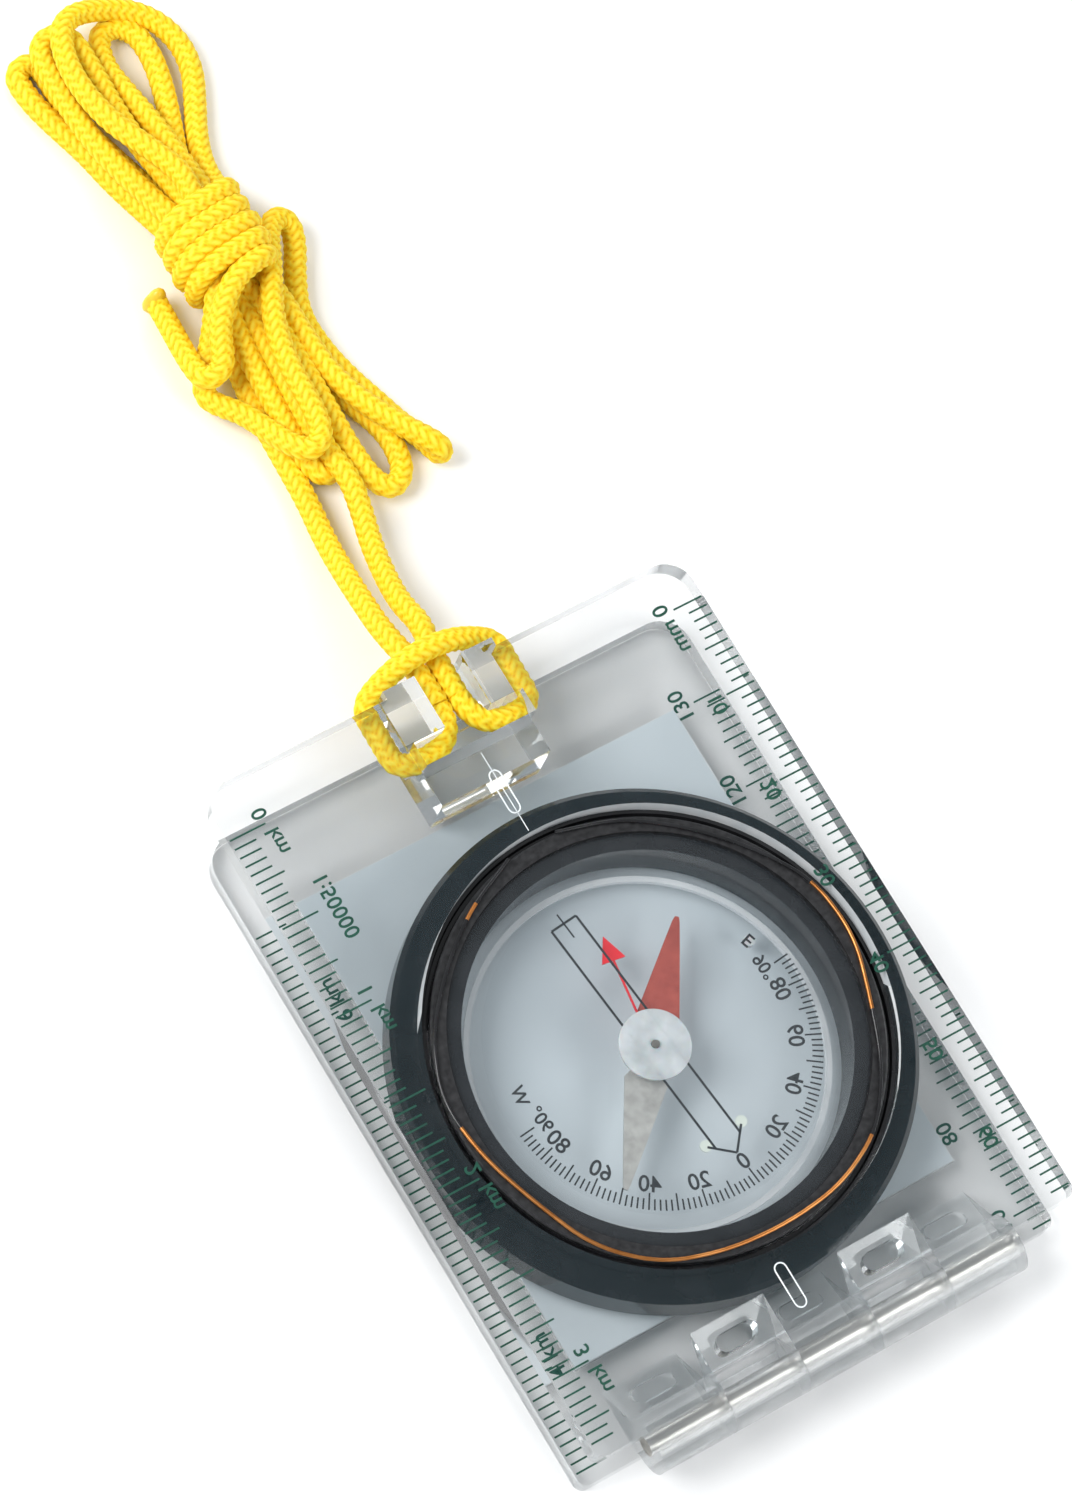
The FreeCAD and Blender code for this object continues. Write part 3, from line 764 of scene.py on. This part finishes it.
def dial_print():
    ink = Print("dial_scale_print", black_ink(), "dial", DIAL_PRINT_LEVEL, mirrored=True)
    tick_end = 16.6
    long_tick_start = 14.9
    short_tick_start = 15.5
    for value in range(-90, 91, 2):
        start = long_tick_start if value % 10 == 0 else short_tick_start
        ink.line(on_dial(start, value - 90), on_dial(tick_end, value - 90), FINE_LINE)
    for value in range(-80, 81, 20):
        place = on_dial(14.1, value - 90)
        ink.text(str(abs(value)), place.x, place.y, NUMBER_SIZE, DIAL_TURN + value)
    for side, letter in ((1, "E"), (-1, "W")):
        place = on_dial(13.9, side * 91 - 90)
        ink.text("90°", place.x, place.y, BEARING_SIZE, DIAL_TURN + side * 88)
        place = on_dial(14.6, side * 103 - 90)
        ink.text(letter, place.x, place.y, BEARING_SIZE, DIAL_TURN + side * 103)
    corners = [(1.5, -11.6), (1.5, 14.7), (-1.5, 14.7), (-1.5, -11.6)]
    points = [dial_point(x, y) for x, y in corners]
    for a, b in zip(points, points[1:]):
        ink.line(a, b, BOLD_LINE)
    for side in (1, -1):
        ink.line(dial_point(0, -13.05), dial_point(side * 2.1, -11.0), BOLD_LINE)
    ink.line(dial_point(0, 13.0), dial_point(0, 15.8), FINE_LINE)
    ink.done()


def needle_halves():
    """The needle's painted halves, each a tapering flat blade. The south half is longer."""
    profile = [(1.02, 0.0), (1.02, 1.5), (2.15, 3.2), (0.8, 11.0), (0.36, 13.4), (0.2, 13.9)]
    south_stretch = 1.045
    for name, material, sign, stretch in (("needle_north", needle_red(), 1, 1.0),
                                          ("needle_south", needle_grey(), -1, south_stretch)):
        half = [(x, sign * y * stretch) for x, y in profile]
        corners = half + [(-x, y) for x, y in reversed(half)]
        if sign < 0:
            corners.reverse()
        places = [about_dial_axis(x, y, NEEDLE_TURN) for x, y in corners]
        bm = bmesh.new()
        prism(bm, places, NEEDLE_UNDER, NEEDLE_TOP)
        obj = finished(name, bm, material, "needle")
        if sign > 0:
            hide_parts("needle")


# CAD nodes that keep their own shapes, with their first material. Some faces get another.

NODE_MATERIALS = {
    "base_plate": acrylic, "lid_plate": acrylic, "hinge_pin": steel,
    "bezel_ring": glossy_black, "clamp_ring": black_plastic, "friction_wire": copper,
    "capsule_base": capsule_clear, "capsule_window": capsule_clear, "capsule_seal": seal_plastic,
    "filler_plug": white_translucent, "scale_disc": capsule_clear, "luminous_dots": luminous,
    "pivot_boss": white_translucent, "pivot_pin": steel, "needle_hub": brass,
    "jewel_bearing": jewel, "clinometer_arrow": arrow_red,
}


CREASE_ANGLE = 25
# The arc of the dial hole's edge that gets a painted highlight.
PAINTED_HIGHLIGHT_ARC = (-14, 150)
# Arcs where the copper wire is painted black as shade.
WIRE_SHADE_ARCS = ((17, 116.5), (120.5, 176), (306, 343))


def crease(mesh):
    """Shades flat faces flat and round ones smooth."""
    if "custom_normal" in mesh.attributes:
        mesh.attributes.remove(mesh.attributes["custom_normal"])
    for polygon in mesh.polygons:
        polygon.use_smooth = True
    mesh.set_sharp_from_angle(angle=math.radians(CREASE_ANGLE))


def dress_nodes():
    for name, material in NODE_MATERIALS.items():
        mesh = nodes[name].data
        crease(mesh)
        mesh.materials.clear()
        mesh.materials.append(material())
    for name in ("base_plate", "lid_plate"):
        dress_where(name, knuckle_acrylic, is_knuckle)
        dress_where(name, sheet_acrylic, is_broad_face)
    # Painted highlight: one arc of the dial hole's edge is coloured pale.
    dress_where("base_plate", marks_and_painted_edge_highlight, is_painted_highlight_arc)
    # Painted shade: the wire is coloured black along three arcs.
    dress_where("friction_wire", glossy_black, is_wire_painted_as_shade)


def is_knuckle(corners):
    return max(v.y for v in corners) < KNUCKLE_LINE * MM


def is_broad_face(corners):
    """A level face of a leaf, at its top or its underside."""
    heights = [v.z / MM for v in corners]
    levels = (LID_UNDER, LID_TOP, BASE_UNDER, BASE_TOP)
    is_level = max(heights) - min(heights) < 0.01
    return is_level and min(abs(heights[0] - z) for z in levels) < 0.02


def dial_bearing(place):
    return math.degrees(math.atan2(place.y / MM - DIAL_Y, place.x / MM))


def is_painted_highlight_arc(corners):
    """One arc of the dial hole's edge, given a pale material of its own as a painted highlight."""
    reaches = [math.hypot(v.x / MM, v.y / MM - DIAL_Y) for v in corners]
    on_edge = max(abs(reach - DIAL_HOLE_RADIUS) for reach in reaches) < 0.03
    low, high = PAINTED_HIGHLIGHT_ARC
    return on_edge and low < dial_bearing(corners[0]) < high


def is_wire_painted_as_shade(corners):
    """The wire lies on the clamp ring all round. It is painted black as shade, where the real wire
    is sunk out of sight, except along two arcs and its hook.
    """
    bearing = dial_bearing(corners[0]) % 360
    return any(low < bearing < high for low, high in WIRE_SHADE_ARCS)


def dress_where(name, material, chosen):
    """Gives one more material to the faces whose corners pass a test."""
    node = nodes[name]
    node.data.materials.append(material())
    index = len(node.data.materials) - 1
    for polygon in node.data.polygons:
        corners = [node.matrix_world @ node.data.vertices[v].co for v in polygon.vertices]
        if chosen(corners):
            polygon.material_index = index


# Stage

STAGE_CENTRE = (0, 0.02, 0)
FLOOR_DROP = 0.00005


def add_area(name, place, size, power):
    light = bpy.data.lights.new(name, "AREA")
    light.shape = "RECTANGLE"
    light.size = size[0]
    light.size_y = size[1]
    light.energy = power
    obj = bpy.data.objects.new(name, light)
    obj.location = place
    obj.rotation_euler = (Vector(STAGE_CENTRE) - Vector(place)).to_track_quat("-Z", "Y").to_euler()
    bpy.context.scene.collection.objects.link(obj)


def add_stage():
    material, tree, shader = new_material("floor_white", Roughness=0.9)
    noise_between(tree, shader, (0.93, 0.93, 0.93, 1), (0.95, 0.95, 0.95, 1), 3.0)
    bm = bmesh.new()
    bmesh.ops.create_grid(bm, x_segments=1, y_segments=1, size=2.0)
    floor = finished("floor", bm, material, None)
    floor.location.z = -FLOOR_DROP
    world = bpy.data.worlds.new("studio")
    world.use_nodes = True
    background = world.node_tree.nodes["Background"]
    background.inputs["Color"].default_value = (0.93, 0.97, 1.0, 1)
    background.inputs["Strength"].default_value = 0.4
    bpy.context.scene.world = world
    add_area("key", (-0.55, 0.3, 0.65), (0.5, 0.5), 7.2)
    add_area("fill", (0.35, -0.6, 0.55), (0.5, 0.4), 3.8)
    add_area("back", (0.25, 0.85, 0.4), (0.7, 0.25), 3.0)
    bpy.context.scene.view_settings.view_transform = "Standard"


def light_paths():
    """Lets light through every clear wall that can lie in a row."""
    cycles = bpy.context.scene.cycles
    deep = 24
    cycles.max_bounces = deep
    cycles.transmission_bounces = deep
    cycles.transparent_max_bounces = deep
    cycles.glossy_bounces = 12
    cycles.caustics_reflective = False


add_camera()
add_cords()
dress_nodes()
add_mirror()
base_print()
lid_print()
dial_print()
needle_halves()
add_stage()
light_paths()
